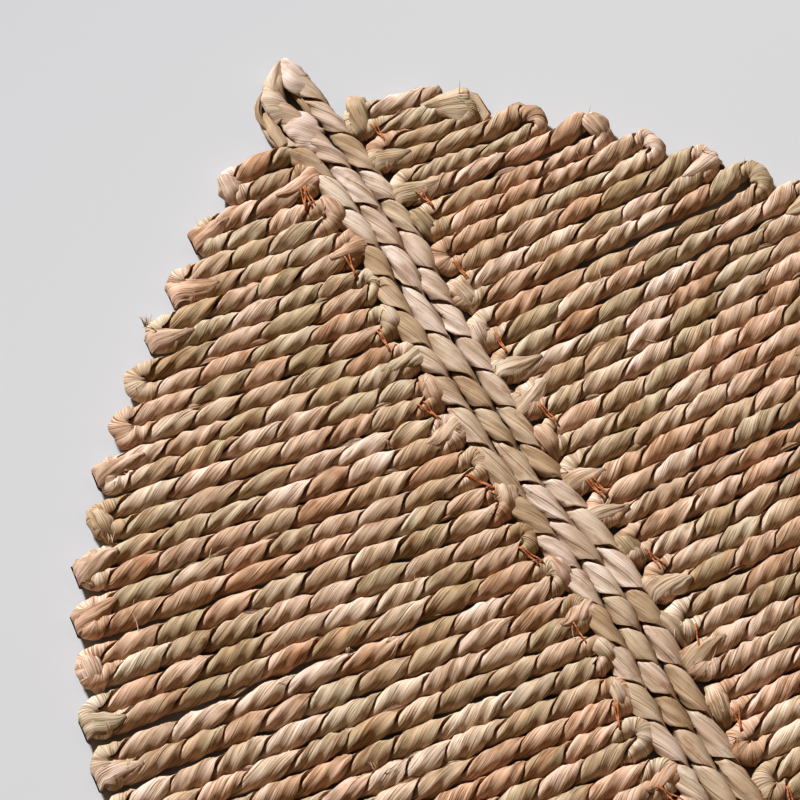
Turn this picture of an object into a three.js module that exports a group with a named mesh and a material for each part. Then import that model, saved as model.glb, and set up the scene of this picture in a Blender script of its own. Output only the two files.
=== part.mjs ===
// A leaf-shaped table mat of twisted husk rope, in millimetres, lying flat with +Z up.
// Each half of the leaf is one rope laid back and forth in rows, and the midrib between them
// is a rope folded at the tip with a second rope along its left side.
// The mat is laid out in the leaf's own plane, with the tip at (0, 0) and the stem at negative y,
// and the whole is then moved so that the origin is under the middle of its box.

import * as THREE from 'three';

// Rope of the rows
const ROW_ROPE_WIDTH = 6.5;
const ROW_ROPE_HEIGHT = 6.6;
const ROW_FLAT_WIDTH = 3.8;
const ROW_WAIST_HEIGHT = 2.9;
const FOLD_RADIUS = 3.72;
const FOLD_STEPS = 5;
const FOLD_PITCH = 15;
const BOW_PLACE = 0.55;

// Rope of the midrib: two plies, so its section is an oval that turns along the rope
const RIB_ROPE_WIDTH = 6.7;
const RIB_ROPE_THICKNESS = 5.0;
const RIB_TURN_LENGTH = 31;
const RIB_STEPS_A_TURN = 6;
const RIB_SIDES = 8;
const RIB_SPACING = 7.0;
const TIP_ROPE_PHASE = 0.4;
const SIDE_ROPE_PHASE = 1.2;
const COLUMN_POINT_SPACING = 20;

// The rows fold back this far from the midrib's middle line
const MIDRIB_HALF_WIDTH = 10.35;
const ROW_CLEARANCE = 0.3;

// The leaf's ends
const RIB_FULL_Y = -46;
const STEM_END_Y = -486;
const LEAF_CENTRE_X = 2.833;
const LEAF_CENTRE_Y = -243.778;

// How the midrib wanders: middle line x at each y
const MIDRIB = [
  { y: -486, x: 0.0 },
  { y: -440, x: 0.4 },
  { y: -390, x: -0.6 },
  { y: -340, x: 0.8 },
  { y: -298, x: -0.6 },
  { y: -259, x: 0.6 },
  { y: -222, x: 2.8 },
  { y: -184, x: -1.2 },
  { y: -140, x: -1.9 },
  { y: -104, x: -1.8 },
  { y: -78, x: 0.6 },
  { y: -46, x: -1.4 },
  { y: -38, x: -2.0 },
];

// Each half of the leaf, by number of outer fold from the tip: how far the fold reaches from
// the leaf's axis and how far it sits above its inner end. The rope starts at startX, and its
// first row climbs by startLift to there.
const LEFT_HALF = {
  side: -1,
  firstInnerY: -47.8,
  bow: 0,
  startX: 18.6,
  startLift: 1.2,
  stations: [
    { fold: 0, reach: 40, rise: 0.6 },
    { fold: 2, reach: 71, rise: 2.6 },
    { fold: 4, reach: 98, rise: 5.6 },
    { fold: 7, reach: 130, rise: 10.2 },
    { fold: 10, reach: 154, rise: 10.4 },
    { fold: 13, reach: 166, rise: 6.8 },
    { fold: 16, reach: 171, rise: 3.0 },
    { fold: 19, reach: 169, rise: 0.6 },
    { fold: 22, reach: 154, rise: -0.4 },
    { fold: 25, reach: 122, rise: -1.0 },
    { fold: 27, reach: 86, rise: -1.2 },
    { fold: 28, reach: 56, rise: -1.2 },
  ],
};
const RIGHT_HALF = {
  side: 1,
  firstInnerY: -35,
  bow: 0.18,
  startX: 46,
  startLift: 0.3,
  stations: [
    { fold: 0, reach: 50, rise: 0.4 },
    { fold: 2, reach: 83, rise: 2.2 },
    { fold: 4, reach: 107, rise: 4.2 },
    { fold: 7, reach: 143, rise: 7.4 },
    { fold: 10, reach: 162, rise: 7.2 },
    { fold: 13, reach: 173, rise: 4.8 },
    { fold: 16, reach: 177, rise: 2.2 },
    { fold: 19, reach: 174, rise: 0.5 },
    { fold: 22, reach: 161, rise: -0.4 },
    { fold: 25, reach: 130, rise: -1.0 },
    { fold: 27, reach: 96, rise: -1.2 },
    { fold: 28, reach: 64, rise: -1.2 },
  ],
};

// The folded rope at the tip: down its right leg is the right column, down its left the centre
const TIP_RIGHT_LEG = [
  { x: 5.0, y: -38 },
  { x: 4.4, y: -30 },
  { x: 4.0, y: -22 },
  { x: 3.6, y: -14 },
  { x: 2.4, y: -7.5 },
];
const TIP_LEFT_LEG = [
  { x: -0.4, y: -3.6 },
  { x: -4.4, y: -6.6 },
  { x: -7.4, y: -12 },
  { x: -7.8, y: -18 },
  { x: -6.4, y: -25 },
  { x: -4.2, y: -32 },
];

// The head of the rope along the left side, which starts as one thin folded husk
const SIDE_HEAD = [
  { x: -13.6, y: -12, size: 0.42 },
  { x: -14.6, y: -19, size: 0.5 },
  { x: -14.4, y: -26, size: 0.62 },
  { x: -12.6, y: -33, size: 0.84 },
  { x: -10.4, y: -39, size: 1 },
];

const HUSK_COLOUR = 0xc0a481;
const RIB_COLOUR = 0xcdb79a;

// A smooth curve through one column of a table, with the rows in rising order of another
function along(table, atName, name, at) {
  const last = table.length - 1;
  const slopeAt = (i) => {
    const before = table[Math.max(i - 1, 0)];
    const after = table[Math.min(i + 1, last)];
    return (after[name] - before[name]) / (after[atName] - before[atName]);
  };
  const t = Math.min(Math.max(at, table[0][atName]), table[last][atName]);
  let i = 0;
  while (i < last - 1 && t > table[i + 1][atName]) i += 1;
  const step = table[i + 1][atName] - table[i][atName];
  const s = (t - table[i][atName]) / step;
  return (
    (2 * s ** 3 - 3 * s ** 2 + 1) * table[i][name] +
    (s ** 3 - 2 * s ** 2 + s) * step * slopeAt(i) +
    (3 * s ** 2 - 2 * s ** 3) * table[i + 1][name] +
    (s ** 3 - s ** 2) * step * slopeAt(i + 1)
  );
}

function midribX(y) {
  return along(MIDRIB, 'y', 'x', y);
}

// The half turn of a fold, from its upper row to its lower one
function foldArc(centreX, centreY, side) {
  const points = [];
  for (let i = 0; i < FOLD_STEPS; i += 1) {
    const angle = Math.PI * (0.5 - i / (FOLD_STEPS - 1));
    points.push(new THREE.Vector2(
      centreX + side * FOLD_RADIUS * Math.cos(angle),
      centreY + FOLD_RADIUS * Math.sin(angle),
    ));
  }
  return points;
}

// The point on a row that keeps most of its bend near the outer end
function bowPoint(innerEnd, outerEnd, bow) {
  const point = innerEnd.clone().lerp(outerEnd, BOW_PLACE);
  point.y -= bow * (outerEnd.y - innerEnd.y);
  return point;
}

// The route of one half's rope: from its start by the tip, row after row, down to the stem
function fieldRoute(half) {
  const { side, stations, bow } = half;
  const lastFold = stations[stations.length - 1].fold;
  const innerReach = MIDRIB_HALF_WIDTH + ROW_CLEARANCE + ROW_ROPE_WIDTH / 2 + FOLD_RADIUS;
  const inner = [];
  const outer = [];
  for (let k = 0; k <= lastFold; k += 1) {
    const innerY = half.firstInnerY - FOLD_PITCH * k;
    const betweenY = innerY - side * FOLD_PITCH / 2;
    const outerX = side * (along(stations, 'fold', 'reach', k) - ROW_ROPE_WIDTH / 2 - FOLD_RADIUS);
    const outerY = betweenY + along(stations, 'fold', 'rise', k);
    inner.push(foldArc(midribX(innerY) + side * innerReach, innerY, -side));
    outer.push(foldArc(outerX, outerY, side));
  }
  const firstFold = side > 0 ? inner[0] : outer[0];
  const route = [new THREE.Vector2(side * half.startX, firstFold[0].y + half.startLift)];
  for (let k = 0; k <= lastFold; k += 1) {
    const first = side > 0 ? inner[k] : outer[k];
    const second = side > 0 ? outer[k] : inner[k];
    const next = side > 0 ? inner[k + 1] : outer[k + 1];
    const last = k === lastFold;
    route.push(...first);
    if (bow > 0) route.push(bowPoint(inner[k][FOLD_STEPS - 1], outer[k][0], bow));
    if (side < 0 && last) {
      route.push(second[0]);
      break;
    }
    route.push(...second);
    if (bow > 0 && next) route.push(bowPoint(next[0], outer[k][FOLD_STEPS - 1], bow));
  }
  if (side > 0) {
    const endY = outer[lastFold][FOLD_STEPS - 1].y;
    const endX = midribX(endY) + side * (innerReach - FOLD_RADIUS);
    route.push(new THREE.Vector2(endX, endY));
  }
  return route;
}

// The unit vector across a route at one of its points, to the left of its way
function acrossAt(route, i) {
  const before = route[Math.max(i - 1, 0)];
  const after = route[Math.min(i + 1, route.length - 1)];
  const way = after.clone().sub(before).normalize();
  return new THREE.Vector2(-way.y, way.x);
}

// A closed solid through rings of the same number of points, each ring counter-clockwise
// as seen from the route's end
function skin(rings) {
  const count = rings[0].length;
  const positions = rings.flat().flatMap((p) => [p.x, p.y, p.z]);
  const index = [];
  for (let r = 0; r < rings.length - 1; r += 1) {
    for (let i = 0; i < count; i += 1) {
      const a = r * count + i;
      const b = r * count + ((i + 1) % count);
      index.push(a, b, b + count, a, b + count, a + count);
    }
  }
  const lastRing = (rings.length - 1) * count;
  for (let i = 1; i < count - 1; i += 1) {
    index.push(0, i + 1, i);
    index.push(lastRing, lastRing + i, lastRing + i + 1);
  }
  const geometry = new THREE.BufferGeometry();
  geometry.setAttribute('position', new THREE.Float32BufferAttribute(positions, 3));
  geometry.setIndex(index);
  geometry.computeVertexNormals();
  return geometry;
}

// One ring at a point of a route: u runs across it to the left and v is the height
function ringAt(route, i, section) {
  const across = acrossAt(route, i);
  return section.map(({ u, v }) => new THREE.Vector3(
    route[i].x + across.x * u,
    route[i].y + across.y * u,
    v,
  ));
}

// A row's rope is flat beneath, where it lies on the table, and on top
const ROW_SECTION = [
  { u: -ROW_FLAT_WIDTH / 2, v: 0 },
  { u: ROW_FLAT_WIDTH / 2, v: 0 },
  { u: ROW_ROPE_WIDTH / 2, v: ROW_WAIST_HEIGHT },
  { u: ROW_FLAT_WIDTH / 2, v: ROW_ROPE_HEIGHT },
  { u: -ROW_FLAT_WIDTH / 2, v: ROW_ROPE_HEIGHT },
  { u: -ROW_ROPE_WIDTH / 2, v: ROW_WAIST_HEIGHT },
];

function fieldGeometry(half) {
  const route = fieldRoute(half);
  return skin(route.map((point, i) => ringAt(route, i, ROW_SECTION)));
}

// The oval of a two-ply rope, turned by its twist
function ribSection(twist, size) {
  const section = [];
  for (let i = 0; i < RIB_SIDES; i += 1) {
    const angle = 2 * Math.PI * i / RIB_SIDES;
    const long = size * RIB_ROPE_WIDTH / 2 * Math.cos(angle);
    const short = size * RIB_ROPE_THICKNESS / 2 * Math.sin(angle);
    section.push({
      u: long * Math.cos(twist) - short * Math.sin(twist),
      v: RIB_ROPE_WIDTH / 2 * size + long * Math.sin(twist) + short * Math.cos(twist),
    });
  }
  return section;
}

// A twisted rope along a smooth curve through its points, with an even step
function ribGeometry(points, sizes, phase) {
  const curve = new THREE.CatmullRomCurve3(points.map((p) => new THREE.Vector3(p.x, p.y, 0)));
  const length = curve.getLength();
  const steps = Math.round(length / (RIB_TURN_LENGTH / RIB_STEPS_A_TURN));
  const route = curve.getSpacedPoints(steps).map((p) => new THREE.Vector2(p.x, p.y));
  const rings = route.map((point, i) => {
    const twist = phase + 2 * Math.PI * (length * i / steps) / RIB_TURN_LENGTH;
    const size = sizes ? along(sizes, 'length', 'size', length * i / steps) : 1;
    return ringAt(route, i, ribSection(twist, size));
  });
  return skin(rings);
}

// Points down one column of the midrib, offset from its middle line
function columnPoints(offset) {
  const points = [];
  const count = Math.round((RIB_FULL_Y - STEM_END_Y) / COLUMN_POINT_SPACING);
  for (let i = 0; i <= count; i += 1) {
    const y = RIB_FULL_Y + (STEM_END_Y - RIB_FULL_Y) * i / count;
    points.push({ x: midribX(y) + offset, y });
  }
  return points;
}

function tipRopeGeometry() {
  const right = columnPoints(RIB_SPACING).reverse();
  const centre = columnPoints(0);
  return ribGeometry([...right, ...TIP_RIGHT_LEG, ...TIP_LEFT_LEG, ...centre], null, TIP_ROPE_PHASE);
}

function sideRopeGeometry() {
  const points = [...SIDE_HEAD, ...columnPoints(-RIB_SPACING)];
  const sizes = SIDE_HEAD.map((p) => ({ length: SIDE_HEAD[0].y - p.y, size: p.size }));
  return ribGeometry(points, sizes, SIDE_ROPE_PHASE);
}

function piece(name, geometry, colour) {
  const material = new THREE.MeshStandardMaterial({ color: colour, roughness: 0.82, metalness: 0 });
  const mesh = new THREE.Mesh(geometry, material);
  mesh.name = name;
  return mesh;
}

const mat = new THREE.Group();
mat.add(piece('left_field', fieldGeometry(LEFT_HALF), HUSK_COLOUR));
mat.add(piece('right_field', fieldGeometry(RIGHT_HALF), HUSK_COLOUR));
mat.add(piece('tip_rope', tipRopeGeometry(), RIB_COLOUR));
mat.add(piece('side_rope', sideRopeGeometry(), RIB_COLOUR));
mat.position.set(-LEAF_CENTRE_X, -LEAF_CENTRE_Y, 0);

export default mat;
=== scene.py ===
"""A leaf-shaped table mat of twisted husk rope, lying on a pale floor.

Each half of the leaf is one two-ply rope laid back and forth. The midrib is a rope folded at the
leaf's tip and a second rope along its left side. Orange-brown thread ties the folds together.
The mat is laid out in millimetres in the leaf's own plane, with the tip at (0, 0) and the stem at
negative y, and is moved to the frame, in metres, when each mesh is made.
"""

import math

import bpy
import numpy as np
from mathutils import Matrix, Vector


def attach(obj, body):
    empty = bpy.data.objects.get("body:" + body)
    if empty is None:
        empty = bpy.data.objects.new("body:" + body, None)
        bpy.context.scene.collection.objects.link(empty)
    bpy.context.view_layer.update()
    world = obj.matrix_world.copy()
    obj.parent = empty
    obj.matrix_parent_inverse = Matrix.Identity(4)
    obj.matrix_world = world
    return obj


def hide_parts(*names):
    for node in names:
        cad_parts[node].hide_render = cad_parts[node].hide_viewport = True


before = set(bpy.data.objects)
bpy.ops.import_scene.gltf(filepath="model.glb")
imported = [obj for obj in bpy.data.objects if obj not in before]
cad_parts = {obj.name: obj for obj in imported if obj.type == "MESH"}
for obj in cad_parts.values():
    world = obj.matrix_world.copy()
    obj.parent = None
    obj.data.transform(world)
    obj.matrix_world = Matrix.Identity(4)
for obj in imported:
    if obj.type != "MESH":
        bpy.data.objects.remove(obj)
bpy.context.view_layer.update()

# The leaf's own plane, in millimetres, against the frame
LEAF_CENTRE = np.array([2.833, -243.778, 0.0])
MM = 0.001

# The camera stands at the photograph's angle: its height above the horizon, the way it looks
# across the leaf, its distance, its focal length in picture widths and the point it looks at
CAMERA_ELEVATION = 58.0
CAMERA_AZIMUTH = 26.64
CAMERA_DISTANCE = 1276.0
FOCAL_WIDTHS = 4083 / 800
SENSOR_WIDTH = 36.0
CAMERA_TARGET = np.array([-23.75, -136.18, 4.5])

# The lamp, by its angles in degrees as seen in the picture, and the even light of the room
LIGHT_TURN = 126.0
LIGHT_ELEVATION = 38.0
LIGHT_DISTANCE = 6.0
LIGHT_SIZE = 0.9
LIGHT_POWER = 436.0
LIGHT_COLOUR = (0.94, 1.0, 1.065)
SKY_STRENGTH = 0.18
SKY_COLOUR = (1.0, 0.74, 0.5, 1.0)

# Half the floor's width, and how far it lies under the mat, in metres
FLOOR_REACH = 4.0
FLOOR_DROP = 0.0002

# Rope of the rows
ROW_HALF_WIDTH = 3.8
ROW_HALF_HEIGHT = 3.35
ROW_HALF_TURN = 16.4
ROW_FIBRE_ANGLE = 36.0
ROW_QUICKNESS = 1.75
FOLD_RADIUS = 3.72
FOLD_PITCH = 15.0
BOW_PLACE = 0.55
HOOK_LENGTH = 13.0
FOLD_LEAN = 0.55
# How far past a half circle an outer fold may reach
OUTER_FOLD_REACH = (-0.8, 1.2)

# Rope of the midrib
RIB_HALF_WIDTH = 3.65
RIB_HALF_HEIGHT = 3.4
RIB_HALF_TURN = 15.5
RIB_FIBRE_ANGLE = 20.0
RIB_QUICKNESS = 2.2
RIB_SPACING = 7.0
MIDRIB_HALF_WIDTH = 10.35
ROW_CLEARANCE = 0.3
CAD_ROW_WIDTH = 6.5
RIB_FULL_Y = -46.0
STEM_END_Y = -486.0
COLUMN_POINT_SPACING = 20.0

# Seeds of the random choices, by part
LEFT_SEED = 101
RIGHT_SEED = 202
TIP_SEED = 303
SIDE_SEED = 404
TIP_HUSK_SEED = 505

# Loose fibres on each half
FRAYS = 90
LOOSE_STRIPS = 70
TUFTS = 22

# Relief of a ply's surface, in shares of the rope's half width: how far its tail lies under the
# other ply's lip, how far the lip stands out, how much thicker the middle of a stretch is, its
# lumps, fibres and creases
TAIL_DEPTH = 0.34
LIP_RISE = 0.06
SWELL = 0.27
LUMP_RELIEF = 0.05
FIBRE_RELIEF = 0.03
CREASE_DEPTH = 0.1
ROW_CREASING = 1.6
RIB_CREASING = 2.2

# Fineness of the ropes' meshes: the steps of a route, the steps first laid in a fold and in a
# row, the steps of the rings where a ply shows and where it is under the other, and the points
# of a ring
ROUTE_STEP = 0.5
ARC_STEPS = 30
ROW_STEPS = 31
SHOWN_STEP = 1.0
HIDDEN_STEP = 2.6
ARC_POINTS = 15

# Height of the lowest points, and how far each ply's inner edge is from the rope's middle
LOWEST = 0.05
CORE_OFFSET = 0.02
# How far apart the surface patterns of two pieces may start, and the layer value of a surface
# without layers
PATTERN_SHIFT = 400
NO_LAYER = 9

# How the midrib wanders: y of each point and its middle line's x there, from the stem up
MIDRIB = [
    (-486, 0.0), (-440, 0.4), (-390, -0.6), (-340, 0.8), (-298, -0.6), (-259, 0.6), (-222, 2.8),
    (-184, -1.2), (-140, -1.9), (-104, -1.8), (-78, 0.6), (-46, -1.4), (-38, -2.0),
]

# Each half of the leaf. Its stations give the number of an outer fold from the tip, how far the
# fold reaches from the leaf's axis and how far it sits above its inner end.
LEFT_HALF = {
    "side": -1,
    "first_inner_y": -47.8,
    "hook": 0.0,
    "openings": {},
    "bow": 0.0,
    "inner_fold_reach": (2.0, 4.2),
    "start_x": 12.0,
    "start_lift": 1.2,
    "stations": [
        (0, 40, 0.6), (2, 71, 2.6), (4, 98, 5.6), (7, 130, 10.2), (10, 154, 10.4),
        (13, 166, 6.8), (16, 171, 3.0), (19, 169, 0.6), (22, 154, -0.4), (25, 122, -1.0),
        (27, 86, -1.2), (28, 56, -1.2),
    ],
}
RIGHT_HALF = {
    "side": 1,
    "first_inner_y": -35.0,
    "hook": 1.4,
    "openings": {1: 0.7, 2: 1.0, 4: 0.5, 5: 1.3, 6: 0.8, 9: 0.6},
    "bow": 0.18,
    "inner_fold_reach": (0.6, 2.4),
    "start_x": 42,
    "start_lift": -2.4,
    "stations": [
        (0, 48, -3.0), (2, 84, 0.9), (4, 108, 3.8), (7, 143, 7.4), (10, 162, 7.2),
        (13, 173, 4.8), (16, 177, 2.2), (19, 174, 0.5), (22, 161, -0.4), (25, 130, -1.0),
        (27, 96, -1.2), (28, 64, -1.2),
    ],
}

# The folded rope at the tip: its right leg goes on as the right column, its left as the centre
TIP_LEGS = [
    (5.0, -38.0), (4.2, -30.0), (3.4, -22.0), (2.7, -14.0), (1.9, -7.5),
    (-0.6, -3.8), (-4.2, -6.8), (-7.8, -12.0), (-8.4, -18.0), (-6.5, -25.0), (-4.5, -32.0),
]
TIP_POINT = (-0.6, -3.8)

# Husks folded over the tip. Each has rows of x, y and z of its middle line, its half width and
# how far its sides hang, and then the angle of its ribs, its tint and its shade.
TIP_HUSKS = [
    ([
        (0.9, 0.4, 2.6, 0.4, 0.8), (-1.6, -2.8, 6.4, 1.5, 1.6), (-4.7, -7.2, 7.1, 2.7, 2.2),
        (-7.4, -11.6, 7.0, 3.1, 2.2), (-8.6, -15.6, 6.0, 2.8, 2.0),
    ], -8, 0.35, 0.5),
    ([
        (1.2, 0.6, 2.8, 0.4, 0.8), (1.1, -2.6, 6.9, 1.9, 1.8), (1.1, -7.4, 7.9, 3.6, 2.4),
        (0.6, -12.0, 7.9, 4.6, 2.2), (2.7, -16.8, 6.4, 2.4, 2.0),
    ], 30, 0.3, 0.9),
    ([
        (-8.4, -9.0, 6.2, 2.0, 1.5), (-9.2, -13.6, 7.5, 3.6, 2.4), (-9.3, -18.2, 7.5, 4.0, 2.6),
        (-8.3, -23.0, 6.4, 4.5, 2.6),
    ], 55, 0.5, 0.8),
    ([
        (-7.8, -21.6, 5.6, 3.6, 1.6), (-6.1, -26.6, 7.4, 5.5, 2.4),
        (-5.1, -32.6, 7.7, 5.3, 2.6), (-3.2, -40.0, 6.4, 2.9, 2.2),
    ], 30, 0.05, 0.9),
    ([
        (-10.4, -9.4, 4.4, 0.5, 0.3), (-13.6, -13.0, 4.8, 1.0, 0.4),
        (-16.0, -18.0, 4.8, 1.2, 0.4), (-15.2, -23.6, 4.6, 0.8, 0.3),
    ], 0, 1.0, 0.0),
    ([
        (-13.2, -17.0, 3.8, 1.2, 0.5), (-14.0, -22.0, 5.4, 2.0, 1.0),
        (-14.2, -27.0, 6.2, 2.3, 1.2), (-13.6, -33.0, 6.0, 2.0, 1.0),
    ], 0, 0.95, 0.6),
    ([
        (-1.6, -13.0, 3.6, 1.0, 0.4), (-0.9, -17.0, 4.6, 1.3, 0.8),
        (-0.4, -22.0, 4.6, 1.3, 0.6), (-1.2, -27.0, 3.4, 0.8, 0.3),
    ], 0, 1.0, 0.0),
]

# Wide husks over the ends of the right half's first row
FIRST_FANS = [
    ([
        (46.6, -46.4, 1.6, 5.4, 0.6), (47.8, -46.0, 4.4, 7.0, 1.4),
        (46.6, -45.4, 6.6, 6.8, 2.0), (43.4, -43.6, 7.7, 5.4, 2.2),
        (38.0, -40.8, 7.6, 3.9, 2.6), (32.6, -38.8, 6.2, 2.0, 2.0),
    ], 12, 0.92, 0.8),
    ([
        (16.2, -24.4, 2.0, 2.2, 0.8), (15.4, -25.6, 6.0, 3.1, 1.4),
        (13.9, -29.5, 7.6, 3.4, 1.8), (12.2, -34.5, 7.7, 3.4, 1.8),
        (11.0, -39.4, 6.4, 2.8, 1.6), (10.6, -41.4, 3.6, 1.4, 0.8),
    ], 18, 0.9, 0.4),
]

# The thin start of the rope at the midrib's left: x, y and the share of its full size
SIDE_HEAD = [
    (-13.6, -12, 0.42), (-14.6, -19, 0.5), (-14.4, -26, 0.62), (-12.6, -33, 0.84), (-10.4, -39, 1.0),
]


# Tables and noise

def curve_through(x, xs, ys, slopes):
    """The values at x of a smooth curve through knots, with the slope given at each knot."""
    i = np.clip(np.searchsorted(xs, x) - 1, 0, len(xs) - 2)
    step = xs[i + 1] - xs[i]
    s = (x - xs[i]) / step
    return (
        (2 * s**3 - 3 * s**2 + 1) * ys[i]
        + (s**3 - 2 * s**2 + s) * step * slopes[i]
        + (3 * s**2 - 2 * s**3) * ys[i + 1]
        + (s**3 - s**2) * step * slopes[i + 1]
    )


def spline(x, xs, ys):
    """A smooth rising curve through knots."""
    return curve_through(x, xs, ys, np.gradient(ys, xs))


def along(table, at, column=1):
    """A smooth curve through one column of a table whose first column rises."""
    places = np.array([row[0] for row in table], float)
    values = np.array([row[column] for row in table], float)
    slopes = np.empty(len(table))
    slopes[1:-1] = (values[2:] - values[:-2]) / (places[2:] - places[:-2])
    slopes[0] = (values[1] - values[0]) / (places[1] - places[0])
    slopes[-1] = (values[-1] - values[-2]) / (places[-1] - places[-2])
    return curve_through(np.clip(at, places[0], places[-1]), places, values, slopes)


def midrib_x(y):
    return along(MIDRIB, y)


def hashed(ix, iy, seed):
    """A fixed random number from 0 to 1 for each whole-numbered place."""
    h = ix.astype(np.int64) * 374761393 + iy.astype(np.int64) * 668265263 + seed * 1442695041
    h = h & 0xFFFFFFFF
    h = ((h ^ (h >> 13)) * 1274126177) & 0xFFFFFFFF
    h = ((h ^ (h >> 16)) * 2246822519) & 0xFFFFFFFF
    return (h ^ (h >> 13)) / 0xFFFFFFFF


def noise(x, y, seed):
    """Smooth noise from -1 to 1 over a plane, one lump to each unit."""
    ix, iy = np.floor(x), np.floor(y)
    fx, fy = x - ix, y - iy
    fx, fy = fx * fx * (3 - 2 * fx), fy * fy * (3 - 2 * fy)
    a = hashed(ix, iy, seed) * (1 - fx) + hashed(ix + 1, iy, seed) * fx
    b = hashed(ix, iy + 1, seed) * (1 - fx) + hashed(ix + 1, iy + 1, seed) * fx
    return 2 * (a * (1 - fy) + b * fy) - 1


def smoothstep(low, high, x):
    t = np.clip((x - low) / (high - low), 0, 1)
    return t * t * (3 - 2 * t)


# Routes

def fold_arc(centre_x, centre_y, side, rng, reach, opening=0.0):
    """The half turn of a fold, from its upper row to its lower one, squarer than a circle."""
    angle = np.linspace(math.pi / 2, -math.pi / 2, ARC_STEPS + 1)
    power = 2 / rng.uniform(2.2, 3.0)
    out = FOLD_RADIUS + rng.uniform(*reach) + opening
    slant = rng.uniform(-1.1, 1.1)
    x = side * out * np.abs(np.cos(angle)) ** power * (1 + 0.1 * slant * np.sin(angle))
    y = (FOLD_RADIUS + opening) * np.sign(np.sin(angle)) * np.abs(np.sin(angle)) ** power
    return np.stack([centre_x + x, centre_y + y + 0.5 * slant * np.cos(angle) ** 2], 1)


def row_between(start, end, bow, hook, inner_first):
    """A row from one fold to the next, with its bend and a rise into the outer fold."""
    inner, outer = (start, end) if inner_first else (end, start)
    middle = inner + (outer - inner) * BOW_PLACE
    middle[1] -= bow * (outer[1] - inner[1])
    t = np.linspace(0, 1, ROW_STEPS + 1)[1:-1, None]
    control = 2 * middle - (inner + outer) / 2
    curve = (1 - t) ** 2 * inner + 2 * t * (1 - t) * control + t**2 * outer
    away = np.abs(curve[:, 0] - outer[0]) / HOOK_LENGTH
    curve[:, 1] -= hook * away * np.exp(1 - away) * smoothstep(0, 15, np.abs(curve[:, 0] - inner[0]))
    return curve if inner_first else curve[::-1]


def field_route(half, rng):
    """The route of one half's rope, and its folds with the place of each one's middle in it."""
    side, stations = half["side"], half["stations"]
    numbers = np.arange(stations[-1][0] + 1)
    inner_reach = MIDRIB_HALF_WIDTH + ROW_CLEARANCE + CAD_ROW_WIDTH / 2 + FOLD_RADIUS
    inner_y = half["first_inner_y"] - FOLD_PITCH * numbers
    outer_x = side * (along(stations, numbers, 1) - CAD_ROW_WIDTH / 2 - FOLD_RADIUS)
    outer_y = inner_y - side * FOLD_PITCH / 2 + along(stations, numbers, 2)
    reach = half["inner_fold_reach"]
    inner = [fold_arc(midrib_x(y) + side * inner_reach, y, -side, rng, reach) for y in inner_y]
    openings = [half["openings"].get(int(k), 0.0) for k in numbers]
    outer = [
        fold_arc(x, y, side, rng, OUTER_FOLD_REACH, opening)
        for x, y, opening in zip(outer_x, outer_y, openings)
    ]
    order = []
    for k in numbers:
        order += [(True, inner[k]), (False, outer[k])][::side]
    start = np.array([side * half["start_x"], order[0][1][0][1] + half["start_lift"]])
    if side > 0:
        last_y = order[-1][1][-1][1]
        end = np.array([midrib_x(last_y) + side * (inner_reach - FOLD_RADIUS), last_y])
    else:
        end = order.pop()[1][0]
    pieces, folds = [start[None]], []
    for is_inner, arc in order:
        pieces.append(row_between(pieces[-1][-1], arc[0], half["bow"], half["hook"], not is_inner))
        folds.append({
            "at": sum(map(len, pieces)) + len(arc) // 2,
            "arc": arc,
            "inner": is_inner,
            "inward": side if is_inner else -side,
        })
        pieces.append(arc)
    pieces.append(row_between(pieces[-1][-1], end, half["bow"], half["hook"], side < 0))
    pieces.append(end[None])
    return np.concatenate(pieces), folds


def lengths_to(points, power=1):
    """The sum of the steps, each raised to a power, up to every point."""
    return np.concatenate([[0], np.cumsum(np.linalg.norm(np.diff(points, axis=0), axis=1) ** power)])


def resampled(points):
    """The route with even steps, and the length along it of each point of the old list."""
    lengths = lengths_to(points)
    count = int(lengths[-1] / ROUTE_STEP)
    at = np.linspace(0, lengths[-1], count + 1)
    return np.stack([np.interp(at, lengths, points[:, k]) for k in range(2)], 1), at, lengths


def smoothed(points, width):
    """The route with its corners eased over that many points."""
    kernel = np.hanning(width + 2)[1:-1]
    kernel /= kernel.sum()
    pad = width // 2
    out = points.copy()
    for k in range(2):
        padded = np.concatenate([
            2 * points[0, k] - points[pad:0:-1, k],
            points[:, k],
            2 * points[-1, k] - points[-2:-pad - 2:-1, k],
        ])
        out[:, k] = np.convolve(padded, kernel, "valid")
    return out


def directions(points):
    """The unit vectors along a route and to its left."""
    way = np.gradient(points, axis=0)
    way /= np.linalg.norm(way, axis=1)[:, None]
    return way, np.stack([-way[:, 1], way[:, 0]], 1)


def turn_knots(marks, total, half_turn, rng, starts_on=0.0):
    """The lengths at which the rope has made each whole number of half turns.

    A half turn is centred on every mark, and the turns between two marks vary a little.
    """
    lengths, counts, marked = [], [], []
    places = [0.0, *marks, total]
    count = starts_on
    for number, (a, b) in enumerate(zip(places[:-1], places[1:])):
        turns = max(1, round((b - a) / half_turn))
        share = np.cumsum(rng.uniform(0.76, 1.24, turns))
        share /= share[-1]
        if number == 0:
            lengths.append(a)
            counts.append(count)
        lengths += list(a + (b - a) * share)
        counts += list(count + 1 + np.arange(turns))
        count += turns
        marked.append(count)
    return np.array(lengths), np.array(counts, float), marked[:-1]


# Ropes

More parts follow.
